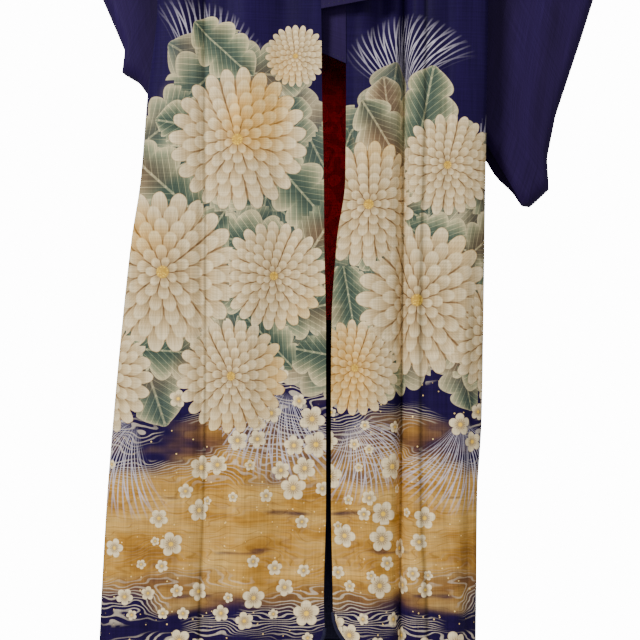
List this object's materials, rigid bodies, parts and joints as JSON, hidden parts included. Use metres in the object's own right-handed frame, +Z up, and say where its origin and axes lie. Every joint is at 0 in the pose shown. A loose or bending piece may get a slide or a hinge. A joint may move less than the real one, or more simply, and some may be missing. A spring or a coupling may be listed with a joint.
{
  "type": "silk kimono on a hanger",
  "caption": "Long-sleeved formal silk kimono hanging open at the front on a wooden hanger, lined at the back, with a wide collar.",
  "frame": {"origin": "inside top of the hanger's hook, where the part is hung up", "axes": "+Z up, front of the garment towards -Y, wearer's left towards +X"},
  "size_m": [0.8218, 0.1404, 1.624],
  "materials": {
    "violet_silk": "soft crepe silk with a painted hem design",
    "crimson_lining": "figured silk damask",
    "navy_lining": "plain silk crepe",
    "hanger_wood": "varnished beech",
    "hook_steel": "bright plated wire"
  },
  "bodies": {
    "root": {"body_right": "violet_silk", "body_left": "violet_silk", "okumi_right": "violet_silk", "okumi_left": "violet_silk", "sleeve_right": "violet_silk", "sleeve_left": "violet_silk", "collar": "violet_silk", "over_collar": "violet_silk", "lining_back": "crimson_lining", "hem_lining_back": "navy_lining", "hanger_bar": "hanger_wood", "hanger_hook": "hook_steel"}
  },
  "joints": []
}
